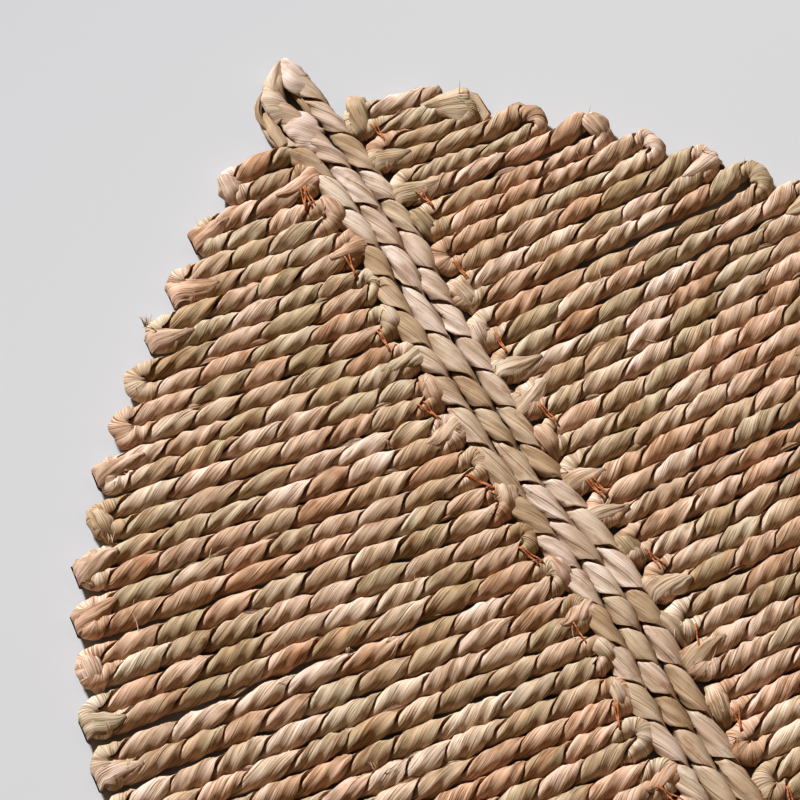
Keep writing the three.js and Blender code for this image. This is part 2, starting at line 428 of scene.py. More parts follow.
def ring_places(rope, ply):
    """The rope's values at one ply's rings, which stand closer where the ply lies on top."""
    at = rope["length_at"]
    up = smoothstep(-0.75, -0.15, np.cos(rope["turn"] + np.pi * ply))
    density = up / SHOWN_STEP + (1 - up) / HIDDEN_STEP
    count_to = np.concatenate([[0], np.cumsum((density[1:] + density[:-1]) / 2 * np.diff(at))])
    count = int(count_to[-1])
    rings = np.interp(np.arange(count + 1) * count_to[-1] / count, count_to, at)
    picked = {}
    for key, value in rope.items():
        if not isinstance(value, np.ndarray) or len(value) != len(at):
            picked[key] = value
        elif value.ndim == 2:
            picked[key] = np.stack([np.interp(rings, at, value[:, k]) for k in range(2)], 1)
        else:
            picked[key] = np.interp(rings, at, value)
    return picked


def facets(across, down, width, seed):
    """Flat faces that meet in sharp creases along the fibres, as a change of radius."""
    place = (across + 0.9 * noise(across / 7, down / 19, seed)) / width
    off = place - np.floor(place) - 0.5
    return CREASE_DEPTH * (3 * np.abs(off) ** 1.6 - 0.5)


def ply_mesh(whole_rope, ply, seed):
    """The points and surface values of one of a rope's two plies.

    A ply's section is half of the rope's, and turns with it. Its surface is marked by the
    segment, which is the stretch that shows between two dives of the ply under the other. One
    edge of a segment is a lip that stands out, and the other, its tail, runs in under the
    other ply's lip.
    """
    rope = ring_places(whole_rope, ply)
    s, half_turns = rope["length_at"], rope["half_turns"]
    segment = np.round((half_turns - ply) / 2).astype(int)
    in_segment = half_turns - ply - 2 * segment
    at_fold = np.isin(2 * segment + ply, rope["fold_counts"])[:, None]
    t = np.linspace(-1, 1, ARC_POINTS)
    share = (t * (1.3 - 0.3 * t * t))[None]

    def picked(number, low=0.0, high=1.0):
        draw = hashed(segment, np.full_like(segment, number), seed + 97 * ply)
        return (low + (high - low) * draw)[:, None]

    ragged = 0.16 * noise(s[:, None] / 2.4, share, seed + 9) * smoothstep(0.7, 1.0, np.abs(share))
    alpha = (rope["turn"] + np.pi * ply)[:, None] + share * math.pi / 2 + ragged
    x = s[:, None] + 0 * alpha
    y = rope["half_width"].mean() * alpha
    beta = np.radians(rope["fibre_angle"] + picked(1, -7, 9))
    beta = np.where(at_fold, np.radians(84 + picked(1, -14, 10)), beta)
    across = y * np.cos(beta) - x * np.sin(beta) + picked(2, 0, PATTERN_SHIFT)
    down = x * np.cos(beta) + y * np.sin(beta)

    edge = rope["lean"][:, None] * share
    tail, lip = np.maximum(-edge, 0), np.maximum(edge, 0)
    rho = 1 - TAIL_DEPTH * smoothstep(0.5, 1.0, tail) - 0.05 * np.abs(share) ** 5
    rho = rho + LIP_RISE * smoothstep(0.5, 0.95, lip) * picked(5, -0.8, 1.5)
    creases = facets(across, down, picked(6, 3.2, 5.0), seed + 6)
    rho = rho + rope["creasing"] * creases * picked(7, 0.5, 1.5)
    rho = rho + FIBRE_RELIEF * (1 - 2 * np.abs(noise(across / 1.3, down / 22, seed + 5)))
    rho = rho + LUMP_RELIEF * noise(s[:, None] / 8, share * 0.8, seed + 7 + ply)
    rho = rho + np.where(at_fold, 0.9 * facets(across, down, 3.1, seed + 8), 0.0)
    swell = np.cos(np.pi * in_segment / 2)[:, None] ** 2
    rho = rho * (1 + picked(3, -0.05, 0.05) + SWELL * (swell - 0.66) * (1 - 0.7 * at_fold))
    rho = rho * rope["taper"][:, None]

    across_out = rope["half_width"][:, None] * rho * np.sin(alpha)
    up_out = rope["half_height"][:, None] * rho * np.cos(alpha)
    turn = (rope["turn"] + np.pi * ply)[:, None]
    across_all = np.concatenate([across_out, CORE_OFFSET * np.sin(turn)], 1)
    up_all = np.concatenate([up_out, CORE_OFFSET * np.cos(turn)], 1)

    points = np.empty((len(s), ARC_POINTS + 1, 3))
    points[:, :, :2] = rope["route"][:, None] + rope["left"][:, None] * across_all[:, :, None]
    points[:, :, 2] = np.maximum(rope["height"][:, None] + up_all, LOWEST)

    def with_centre(value, at_centre):
        centre = at_centre + np.zeros((len(s), 1))
        return np.concatenate([np.broadcast_to(value, alpha.shape), centre], 1)

    number = 2 * segment + ply
    middle_s = np.interp(number, half_turns, s)[:, None]
    middle_y = (rope["half_width"].mean() * np.pi * (number + ply))[:, None]
    layer = (y - middle_y) * np.cos(beta) - (x - middle_s) * np.sin(beta) + picked(4, -3.4, 3.4)
    # The tail and lip values also set where the material paints shade: under the other ply's lip and
    # along the lip's edge. The middle point, inside the rope, gets both in full.
    values = {
        "down": with_centre(down, down[:, :1]),
        "across": with_centre(across, across[:, :1]),
        "layer": with_centre(layer, layer[:, :1]),
        "tail": with_centre(tail, 1.0),
        "tint": with_centre(picked(8), picked(8)),
        "shade": with_centre(picked(9), picked(9)),
        "lip": with_centre(lip, 1.0),
    }
    return points, values


def ring_faces(rings, count, offset=0):
    """The faces of a closed skin through rings, with its two end caps last."""
    ring, i = np.meshgrid(np.arange(rings - 1), np.arange(count), indexing="ij")
    a = offset + ring * count + i
    b = offset + ring * count + (i + 1) % count
    quads = np.stack([a, a + count, b + count, b], -1).reshape(-1, 4)
    first = list(range(offset, offset + count))
    last = [offset + (rings - 1) * count + k for k in range(count)][::-1]
    return [*quads.tolist(), first, last]


def to_frame(points):
    return (points - LEAF_CENTRE) * MM


def show(thing):
    bpy.context.scene.collection.objects.link(thing)


def add_piece(name, points, faces, values, material, node):
    """A smooth piece that stands for a solid, with its surface values."""
    mesh = bpy.data.meshes.new(name)
    mesh.from_pydata(to_frame(points.reshape(-1, 3)).tolist(), [], faces)
    mesh.polygons.foreach_set("use_smooth", np.ones(len(mesh.polygons), bool))
    mesh.materials.append(material)
    add_values(mesh, values)
    piece = bpy.data.objects.new(name, mesh)
    show(piece)
    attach(piece, "root")
    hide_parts(node)
    return piece


def add_values(mesh, values):
    """Puts the surface's own places in UV layers and its random picks in a colour layer."""
    corner = np.empty(len(mesh.loops), np.int32)
    mesh.loops.foreach_get("vertex_index", corner)
    flat = {key: np.array(value, float).reshape(-1)[corner] for key, value in values.items()}
    for layer_name, (u, v) in {"husk": ("down", "across"), "edge": ("layer", "tail")}.items():
        uv = mesh.uv_layers.new(name=layer_name)
        pair = np.stack([flat[u], flat[v]], 1)
        uv.data.foreach_set("uv", pair.astype(np.float32).reshape(-1))
    picks = mesh.color_attributes.new(name="picks", type="FLOAT_COLOR", domain="CORNER")
    colour = np.stack([flat["tint"], flat["shade"], flat["lip"], np.ones(len(corner))], 1)
    picks.data.foreach_set("color", colour.astype(np.float32).reshape(-1))


def sharpen(mesh, count, places):
    """Keeps the edges that run along the rings' given places sharp."""
    ends = np.empty(2 * len(mesh.edges), np.int32)
    mesh.edges.foreach_get("vertices", ends)
    ends = ends.reshape(-1, 2) % count
    sharp = np.isin(ends[:, 0], places) & (ends[:, 0] == ends[:, 1])
    mesh.attributes.new("sharp_edge", "BOOLEAN", "EDGE").data.foreach_set("value", sharp)


def make_rope(name, rope, material, node, seed):
    """The two plies of a rope, as two pieces that stand for one solid."""
    for ply in (0, 1):
        points, values = ply_mesh(rope, ply, seed)
        faces = ring_faces(len(points), ARC_POINTS + 1)
        ply_name = f"{name}_ply_{'ab'[ply]}"
        piece = add_piece(ply_name, points, faces, values, material, node)
        sharpen(piece.data, ARC_POINTS + 1, (0, ARC_POINTS - 1))


def row_room(route, at, reach=11.0):
    """Half of the room that the neighbouring rows leave a rope at each point of its route."""
    near = np.full(len(route), reach)
    block = 400
    for i in range(0, len(route), block):
        part = route[i:i + block]
        away = np.linalg.norm(part[:, None] - route[None], axis=2)
        away[np.abs(at[i:i + block, None] - at[None]) < 1.7 * reach] = reach
        near[i:i + block] = away.min(1)
    return near / 2


def turned(half_turns, quickness):
    """The rope's turn in radians, quicker where one ply gives way to the other."""
    whole = np.round(half_turns)
    part = half_turns - whole
    return np.pi * (whole + 0.5 * np.sign(part) * np.abs(2 * part) ** quickness)


def field_rope(half, seed):
    rng = np.random.default_rng(seed)
    points, folds = field_route(half, rng)
    route, at, lengths = resampled(points)
    marks = lengths[[fold["at"] for fold in folds]]
    route = smoothed(route, 5)
    way, left = directions(route)
    nothing = 0 * at
    wobble = 0.35 * noise(at / 23, nothing, seed + 1) + 0.2 * noise(at / 8, nothing, seed + 2)
    wobble = wobble + 0.35 * noise(at / 70, nothing, seed + 14)
    coarse = slice(None, None, 4)
    room = np.interp(at, at[coarse], row_room(route[coarse], at[coarse]))
    knots, counts, fold_counts = turn_knots(marks, at[-1], ROW_HALF_TURN, rng)
    half_turns = spline(at, knots, counts)
    nearest = np.abs(at[:, None] - marks[None]).min(1)
    in_fold = 1 - smoothstep(4.0, 10.0, nearest)
    bend = np.gradient(np.unwrap(np.arctan2(way[:, 1], way[:, 0])), at)
    bend = np.convolve(bend, np.ones(9) / 9, "same")
    end = smoothstep(0, 5, at) * smoothstep(0, 5, at[-1] - at)
    width = 1 + 0.04 * noise(at / 21, nothing, seed + 3) + 0.06 * noise(at / 90, nothing, seed + 13)
    lean_back = FOLD_LEAN * np.clip(bend * FOLD_RADIUS, -1, 1) * in_fold
    return folds, {
        "route": route + left * (wobble * (1 - in_fold))[:, None],
        "left": left,
        "length_at": at,
        "half_turns": half_turns,
        "fold_counts": np.array(fold_counts),
        "turn": turned(half_turns, ROW_QUICKNESS) - lean_back,
        "half_width": np.minimum(ROW_HALF_WIDTH * width, room * 1.06),
        "half_height": ROW_HALF_HEIGHT * (1 + 0.07 * noise(at / 33, nothing, seed + 4)),
        "height": ROW_HALF_HEIGHT + 0.15 + 0.25 * noise(at / 19, nothing, seed + 9),
        "taper": 0.45 + 0.55 * end,
        "lean": np.clip(-way[:, 0] * 1.4, -1, 1),
        "fibre_angle": ROW_FIBRE_ANGLE,
        "creasing": ROW_CREASING,
    }


def column(offset):
    """Points down one column of the midrib, offset from its middle line."""
    count = round((RIB_FULL_Y - STEM_END_Y) / COLUMN_POINT_SPACING)
    y = RIB_FULL_Y + (STEM_END_Y - RIB_FULL_Y) * np.arange(count + 1) / count
    return np.stack([midrib_x(y) + offset, y], 1)


def through(points):
    """A smooth curve through given points, by centripetal steps."""
    points = np.asarray(points, float)
    knots = lengths_to(points, 0.5)
    fine = np.linspace(0, knots[-1], int(lengths_to(points)[-1] / ROUTE_STEP))
    return np.stack([spline(fine, knots, points[:, k]) for k in range(2)], 1)


def rib_rope(points, seed, sizes=None, narrow_at=None):
    rng = np.random.default_rng(seed)
    route, at, _ = resampled(through(points))
    way, left = directions(route)
    knots, counts, _ = turn_knots([], at[-1], RIB_HALF_TURN, rng, starts_on=rng.integers(2))
    half_turns = spline(at, knots, counts)
    size = np.ones(len(at)) if sizes is None else along(sizes, at)
    if narrow_at:
        size = size * (1 - 0.35 * np.exp(-(np.linalg.norm(route - narrow_at, axis=1) / 4) ** 2))
    return {
        "route": route + left * (0.25 * noise(at / 12, 0 * at, seed + 1))[:, None],
        "left": left,
        "length_at": at,
        "half_turns": half_turns,
        "fold_counts": np.array([]),
        "turn": turned(half_turns, RIB_QUICKNESS),
        "half_width": RIB_HALF_WIDTH * size,
        "half_height": RIB_HALF_HEIGHT * size,
        "height": RIB_HALF_HEIGHT * size + 0.25,
        "taper": np.ones(len(at)),
        "lean": np.sign(way[:, 1]) * smoothstep(0, 0.4, np.abs(way[:, 1])),
        "fibre_angle": RIB_FIBRE_ANGLE,
        "creasing": RIB_CREASING,
    }


# Straps, threads and frays

# Fineness and thickness of the straps, and the threads' sides, radius and spacing
STRAP_TOP_POINTS = 15
STRAP_UNDER_POINTS = 5
STRAP_THICKNESS = 0.45
STRAP_STEP = 0.7
TUBE_SIDES = 6
THREAD_RADIUS = 0.28
THREAD_SPACING = 0.8

# A tie's way over the gap: its share of the slant, how far it is up the leaf, and its height
TIE_PATH = [
    (1.0, 4.6, 4.4), (0.9, 3.9, 6.9), (0.4, 1.6, 7.1), (0.0, 0.0, 6.5),
    (-0.4, -1.6, 7.1), (-0.9, -3.9, 6.9), (-1.0, -4.6, 4.4),
]

# The husk over each fold of a half, in order along the rope: T for a tab whose ribs run along the
# rows, O for an oval across them, - for none. The folds with ? and those beyond get one by chance.
LEFT_STRAPS = "OTTOTTT--O-TTOOTT-TOO-TOTT-OTO"
RIGHT_STRAPS = "--T-TOO--TO-OTT?T?O?T?T?O?T?O?T?O"
STRAP_CHANCES = ("-", "-", "T", "O")


def through_space(points, step):
    """A smooth curve with even steps through points in space."""
    points = np.asarray(points, float)
    knots = lengths_to(points, 0.5)
    fine = np.linspace(0, knots[-1], 200)
    curve = np.stack([spline(fine, knots, points[:, k]) for k in range(3)], 1)
    lengths = lengths_to(curve)
    at = np.linspace(0, lengths[-1], max(3, round(lengths[-1] / step)) + 1)
    return np.stack([np.interp(at, lengths, curve[:, k]) for k in range(3)], 1), at


def even_values(points, down, across, tint, shade, lip):
    """The surface values of a skin without layers, with one tint and shade."""
    even = np.ones(points.shape[:2])
    names = ("down", "across", "layer", "tail", "tint", "shade", "lip")
    values = (down, across, NO_LAYER, 0, tint, shade, lip)
    return {name: value * even for name, value in zip(names, values)}


def strap_skin(path, widths, droops, rng, rib_angle=0.0, step=STRAP_STEP, tint=None, shade=None):
    """One husk as a thin closed skin along a path, arched across and ribbed.

    The widths and droops are half widths and how far the sides hang, at even places along it.
    The ribs lie at an angle, in degrees, from the path towards its left.
    """
    path, at = through_space(path, step)
    share = at / at[-1]
    width = np.interp(share, np.linspace(0, 1, len(widths)), widths)
    droop = np.interp(share, np.linspace(0, 1, len(droops)), droops)
    way = np.gradient(path, axis=0)
    flat = np.stack([-way[:, 1], way[:, 0], 0 * at], 1)
    steep = np.linalg.norm(flat, axis=1) < 1e-3
    flat[steep] = np.array([0, 1, 0])
    side = flat / np.linalg.norm(flat, axis=1)[:, None]
    way /= np.linalg.norm(way, axis=1)[:, None]
    out = np.cross(way, side)
    out *= np.sign(out[len(at) // 2, 2])
    seed = int(rng.integers(1000))
    b = np.linspace(-1, 1, STRAP_TOP_POINTS)[None]
    length_grid, width_grid = at[:, None] + 0 * b, b * 4.5 + 0 * at[:, None]
    cos, sin = math.cos(math.radians(rib_angle)), math.sin(math.radians(rib_angle))
    u, v = length_grid * cos + width_grid * sin, width_grid * cos - length_grid * sin
    relief = 0.3 * (1 - 2 * np.abs(noise(v / 1.5, u / 14, seed)))
    relief = relief + 0.25 * noise(v / 4, u / 6, seed + 1)
    relief = relief * smoothstep(0, 0.12, share)[:, None] * smoothstep(0, 0.12, 1 - share)[:, None]
    edge = 1 + 0.1 * noise(at[:, None] / 2.2, 3 * np.sign(b), seed + 2)
    down = np.array([0, 0, -1.0])

    def layer(b, relief, sink):
        spread = b * width[:, None] * edge[:, :1]
        lift = relief - sink
        return (
            path[:, None]
            + side[:, None] * spread[:, :, None]
            + out[:, None] * lift[:, :, None]
            + down * (droop[:, None] * np.abs(b) ** 2.1)[:, :, None]
        )

    under = np.linspace(0.96, -0.96, STRAP_UNDER_POINTS)[None]
    flat_side = layer(under, 0 * at[:, None] * under, STRAP_THICKNESS)
    points = np.concatenate([layer(b, relief, 0.0), flat_side], 1)
    points[:, :, 2] = np.maximum(points[:, :, 2], LOWEST)
    across = np.concatenate([v, v[:, :STRAP_UNDER_POINTS]], 1)
    along_it = np.concatenate([u, u[:, :STRAP_UNDER_POINTS]], 1)
    # Painted shade: the husk's sides, its end and its whole underside are marked to be darkened,
    # through the lip value, in the material.
    rim_shade = np.maximum(smoothstep(0.9, 1.0, np.abs(b)), smoothstep(0.97, 1.0, share)[:, None])
    rim_shade = np.concatenate([rim_shade, np.ones((len(at), STRAP_UNDER_POINTS))], 1)
    down_at = along_it + rng.uniform(0, PATTERN_SHIFT)
    across_at = across + rng.uniform(0, PATTERN_SHIFT)
    tint = rng.uniform() if tint is None else tint
    shade = rng.uniform(0.3, 1) if shade is None else shade
    return points, even_values(points, down_at, across_at, tint, shade, rim_shade)


def placed_strap(shape, rng):
    rows, rib_angle, tint, shade = shape
    rows = np.array(rows)
    return strap_skin(rows[:, :3], rows[:, 3], rows[:, 4], rng, rib_angle, tint=tint, shade=shade)


def joined(name, skins, material, node):
    """One piece from several closed skins, each with rings of the same number of points."""
    points, faces, offset = [], [], 0
    for skin, _ in skins:
        faces += ring_faces(*skin.shape[:2], offset)
        points.append(skin.reshape(-1, 3))
        offset += skin.shape[0] * skin.shape[1]
    names = skins[0][1]
    values = {key: np.concatenate([given[key].reshape(-1) for _, given in skins]) for key in names}
    add_piece(name, np.concatenate(points), faces, values, material, node)


def fold_axes(fold, folds, number):
    """The outermost place of a fold's rope, and the ways along its rows and up across them."""
    arc = fold["arc"]
    after = arc[-1] + [fold["inward"] * 40, 0]
    if number + 1 < len(folds):
        after = folds[number + 1]["arc"][0]
    along_row = after - arc[-1]
    along_row = along_row / np.linalg.norm(along_row)
    up = np.array([-along_row[1], along_row[0]])
    if up[1] < 0:
        up = -up
    return arc[len(arc) // 2], along_row, up


def fold_strap(kind, fold, folds, number, rng):
    tip, inward, up = fold_axes(fold, folds, number)

    def place(inward_by, up_by, z):
        flat = tip + inward * inward_by + up * up_by
        return (flat[0], flat[1], z)

    if kind == "T":
        row = rng.choice([-1, -1, -1, 1]) * 3.4
        start = row * rng.uniform(0.1, 0.6)
        length = rng.uniform(9.0, 13.0)
        top = rng.uniform(7.1, 7.5)
        path = [
            place(-3.0, start, 1.6),
            place(-3.8, start, 3.6),
            place(-3.4, start, top - 1.5),
            place(-1.8, start, top - 0.2),
            place(length * 0.3, (start + row) / 2, top + 0.1),
            place(length * 0.65, row * 0.95, top + 0.1),
            place(length, row * 1.05, top),
        ]
        blunt = rng.uniform(3.4, 4.6)
        widths = [blunt * 0.9, blunt, blunt, blunt * 0.95, blunt * 0.75, 0.7]
        angle = rng.uniform(-5, 35)
        return strap_skin(path, widths, [0.3, 0.8, 1.3, 2.0, 1.9, 0.4], rng, angle)
    lean = rng.uniform(-1.6, 1.6)
    inset = rng.uniform(-1.4, 1.2)
    half = rng.uniform(5.4, 6.6)
    top = rng.uniform(7.4, 8.0)
    rise = [(lean, half + 1.2, 2.4), (lean * 0.8, half, 4.8), (lean * 0.4, half * 0.5, top - 0.5)]
    path = [place(inset - along_by, -up_by, z) for along_by, up_by, z in rise]
    path.append(place(inset, 0, top))
    path += [place(inset + along_by, up_by, z) for along_by, up_by, z in rise[::-1]]
    wide = rng.uniform(2.8, 3.7)
    widths = [1.0, wide * 0.8, wide, wide, wide * 0.8, 1.0]
    return strap_skin(path, widths, [0.6, 1.4, 1.8, 1.8, 1.4, 0.6], rng)


def tube_skin(path, radius, rng, sides=TUBE_SIDES, step=0.8, taper=0.0):
    """A thin round thread or fibre along a path, thinner towards its end where it tapers."""
    path, at = through_space(path, step)
    way = np.gradient(path, axis=0)
    way /= np.linalg.norm(way, axis=1)[:, None]
    side = np.cross(way, [0.3, 0.2, 1.0])
    side /= np.linalg.norm(side, axis=1)[:, None]
    out = np.cross(way, side)
    angle = np.linspace(0, 2 * math.pi, sides, endpoint=False)[None, :, None]
    size = radius * (1 - taper * (at / at[-1]) ** 1.5)[:, None, None]
    points = path[:, None] + size * (side[:, None] * np.cos(angle) + out[:, None] * np.sin(angle))
    points[:, :, 2] = np.maximum(points[:, :, 2], LOWEST)
    across, tint, shade = rng.uniform(0, PATTERN_SHIFT), rng.uniform(), rng.uniform()
    return points, even_values(points, at[:, None], across, tint, shade, 0)


def tie_skins(upper, lower, rng):
    """The threads over the gap between two inner folds, sunk into the ropes at both ends."""
    middle = (upper["arc"].mean(0) + lower["arc"].mean(0)) / 2
    inset = upper["inward"] * rng.uniform(1.0, 3.5)
    slant = rng.uniform(-1.6, 1.6)
    strands = int(rng.choice([1, 2, 2, 2, 4]))
    skins = []
    for strand in range(strands):
        shift = inset + (strand - (strands - 1) / 2) * THREAD_SPACING + rng.uniform(-0.15, 0.15)
        skew = slant + rng.uniform(-1.3, 1.3)
        path = [(middle[0] + shift - skew * a, middle[1] + y, z) for a, y, z in TIE_PATH]
        skins.append(tube_skin(path, THREAD_RADIUS, rng))
    return skins


def fray_skins(rope, folds, rng, count):
    """Loose fibres: short ones that stick out at the folds and longer ones along the rows."""
    skins = []
    for number in range(count):
        if number % 2:
            fold = folds[int(rng.integers(len(folds)))]
            start = fold["arc"][int(rng.integers(len(fold["arc"])))]
            heading = (0 if fold["inward"] < 0 else math.pi) + rng.uniform(-1.1, 1.1)
            length, rise = rng.uniform(3, 7), rng.uniform(-0.5, 3.0)
        else:
            start = rope["route"][int(rng.integers(len(rope["route"])))]
            heading = rng.uniform(0.2, 1.1) + rng.choice([0, math.pi])
            length, rise = rng.uniform(4, 10), rng.uniform(0.2, 1.6)
        bend = rng.uniform(-0.5, 0.5)
        z = rng.uniform(5.4, 6.8)
        path = []
        for t in (0, 0.33, 0.66, 1):
            turn = heading + bend * t
            x, y = start[0] + length * t * math.cos(turn), start[1] + length * t * math.sin(turn)
            path.append((x, y, z + rise * math.sin(math.pi * 0.6 * t)))
        skins.append(tube_skin(path, rng.uniform(0.1, 0.22), rng, sides=4, step=1.2, taper=0.8))
    return skins


def tuft_skins(rope, rng, count):
    """Small frayed tufts that stand out between the rows."""
    skins = []
    for _ in range(count):
        number = int(rng.integers(len(rope["route"])))
        aside = rope["left"][number] * rng.choice([-1, 1]) * rng.uniform(2.6, 3.6)
        start = rope["route"][number] + aside
        heading = rng.uniform(0, 2 * math.pi)
        for _ in range(int(rng.integers(6, 12))):
            turn = heading + rng.uniform(-0.7, 0.7)
            length = rng.uniform(1.6, 4.2)
            shift = rng.uniform(-0.8, 0.8)
            x, y = start[0] - math.sin(heading) * shift, start[1] + math.cos(heading) * shift
            z, rise = rng.uniform(4.6, 5.4), rng.uniform(0.6, 2.2)
            path = []
            for t in (0, 0.33, 0.66, 1):
                end = (x + length * t * math.cos(turn), y + length * t * math.sin(turn))
                path.append((*end, z + rise * (1 - (1 - t) ** 2)))
            skins.append(tube_skin(path, rng.uniform(0.12, 0.3), rng, sides=4, step=1.0, taper=0.7))
    return skins


def strip_skins(rope, folds, rng, count):
    """Narrow loose husks that show in the valleys between the rows."""
    skins = []
    ends = np.array([fold["arc"].mean(0) for fold in folds])
    while len(skins) < count:
        number = int(rng.integers(len(rope["route"])))
        start, left = rope["route"][number], rope["left"][number]
        if np.linalg.norm(ends - start, axis=1).min() < 14:
            continue
        along_row = np.array([left[1], -left[0]])
        length = rng.uniform(7, 13)
        aside = rng.choice([-1, 1]) * rng.uniform(3.0, 3.8)
        slope = rng.uniform(-0.22, 0.22)
        path = []
        for t, z in ((-0.5, 3.4), (-0.2, 4.8), (0.2, 5.2), (0.5, 3.8)):
            flat = start + along_row * length * t + left * (aside + slope * length * t)
            path.append((flat[0], flat[1], z + rng.uniform(-0.3, 0.4)))
        wide = rng.uniform(0.7, 1.3)
        widths, droops, shade = [0.2, wide, wide, 0.3], [0.1, 0.3, 0.3, 0.1], rng.uniform(0, 0.6)
        skins.append(strap_skin(path, widths, droops, rng, step=1.4, shade=shade))
    return skins


def make_field(name, half, straps, extra, material, node, seed):
    """One half of the leaf: its rope, the husks over its folds, its ties and its loose fibres."""
    folds, rope = field_rope(half, seed)
    make_rope(f"{name}_row_rope", rope, material, node, seed)
    rng = np.random.default_rng(seed + 50)
    skins = [placed_strap(shape, rng) for shape in extra]
    for number, fold in enumerate(folds):
        kind = straps[number] if number < len(straps) else "?"
        if kind == "?":
            kind = rng.choice(STRAP_CHANCES)
        if kind != "-":
            skins.append(fold_strap(kind, fold, folds, number, rng))
    skins += strip_skins(rope, folds, rng, LOOSE_STRIPS)
    joined(f"{name}_fold_husks", skins, material, node)
    inner = [fold for fold in folds if fold["inner"]]
    ties = []
    for upper, lower in zip(inner[::2], inner[1::2]):
        ties += tie_skins(upper, lower, rng)
    joined(f"{name}_ties", ties, thread, node)
    loose = fray_skins(rope, folds, rng, FRAYS) + tuft_skins(rope, rng, TUFTS)
    joined(f"{name}_frays", loose, material, node)


# Materials

def srgb(*levels):
    """A screen colour as the linear values that shaders take."""
    shares = [level / 255 for level in levels]
    return (*[c / 12.92 if c <= 0.04045 else ((c + 0.055) / 1.055) ** 2.4 for c in shares], 1.0)


class Nodes:
    """Short ways to add and join a material's nodes."""

    def __init__(self, name):
        self.material = bpy.data.materials.new(name)
        self.material.use_nodes = True
        self.tree = self.material.node_tree
        self.tree.nodes.clear()

    def put(self, socket, value):
        if isinstance(value, bpy.types.NodeSocket):
            self.tree.links.new(value, socket)
        else:
            socket.default_value = value

    def add(self, kind, inputs=(), **settings):
        node = self.tree.nodes.new(kind)
        for key, value in settings.items():
            setattr(node, key, value)
        for key, value in dict(inputs).items():
            self.put(node.inputs[key], value)
        return node

    def places(self, layer_name):
        """The two values of one of the surface's UV layers."""
        uv = self.add("ShaderNodeUVMap", uv_map=layer_name).outputs[0]
        return self.add("ShaderNodeSeparateXYZ", {0: uv}).outputs[:2]

    def math(self, operation, *values):
        return self.add("ShaderNodeMath", dict(enumerate(values)), operation=operation).outputs[0]

    def spread(self, value, low, high, to_low=0.0, to_high=1.0):
        given = dict(enumerate((value, low, high, to_low, to_high)))
        return self.add("ShaderNodeMapRange", given, interpolation_type="SMOOTHSTEP").outputs[0]

    def mix(self, factor, a, b, blend="MIX"):
        given = {0: factor, 6: a, 7: b}
        return self.add("ShaderNodeMix", given, data_type="RGBA", blend_type=blend).outputs[2]

    def ramp(self, factor, stops):
        node = self.add("ShaderNodeValToRGB")
        elements = node.color_ramp.elements
        elements[0].position, elements[0].color = stops[0]
        elements[1].position, elements[1].color = stops[-1]
        for position, colour in stops[1:-1]:
            element = elements.new(position)
            element.color = colour
        self.put(node.inputs[0], factor)
        return node.outputs[0]

    def streaks(self, down, across, down_scale, across_scale, detail=2.0, shift=0.0):
        """Noise drawn out along the fibres; the scales are lumps to each millimetre."""
        place = self.add("ShaderNodeCombineXYZ", {
            0: self.math("MULTIPLY_ADD", down, down_scale, shift),
            1: self.math("MULTIPLY_ADD", across, across_scale, shift),
        })
        return self.add("ShaderNodeTexNoise", {
            "Vector": place.outputs[0], "Scale": 1.0, "Detail": detail, "Roughness": 0.55,
        }, noise_dimensions="2D").outputs[0]

    def finish(self, colour, roughness, height, distance, strength=1.0, specular=0.35):
        relief = {"Height": height, "Distance": distance, "Strength": strength}
        bump = self.add("ShaderNodeBump", relief)
        shader = self.add("ShaderNodeBsdfPrincipled", {
            "Base Color": colour, "Roughness": roughness, "Normal": bump.outputs[0],
            "Specular IOR Level": specular,
        })
        output = self.add("ShaderNodeOutputMaterial")
        self.tree.links.new(shader.outputs[0], output.inputs[0])
        return self.material


HUSK_TINTS = [
    (0.0, srgb(226, 188, 163)),
    (0.18, srgb(228, 201, 184)),
    (0.45, srgb(229, 207, 193)),
    (0.65, srgb(226, 204, 184)),
    (0.8, srgb(220, 202, 184)),
    (0.92, srgb(210, 195, 172)),
    (1.0, srgb(217, 181, 153)),
]
RIB_TINTS = [
    (0.0, srgb(216, 195, 183)),
    (0.4, srgb(220, 203, 190)),
    (0.7, srgb(214, 196, 178)),
    (1.0, srgb(200, 177, 154)),
]


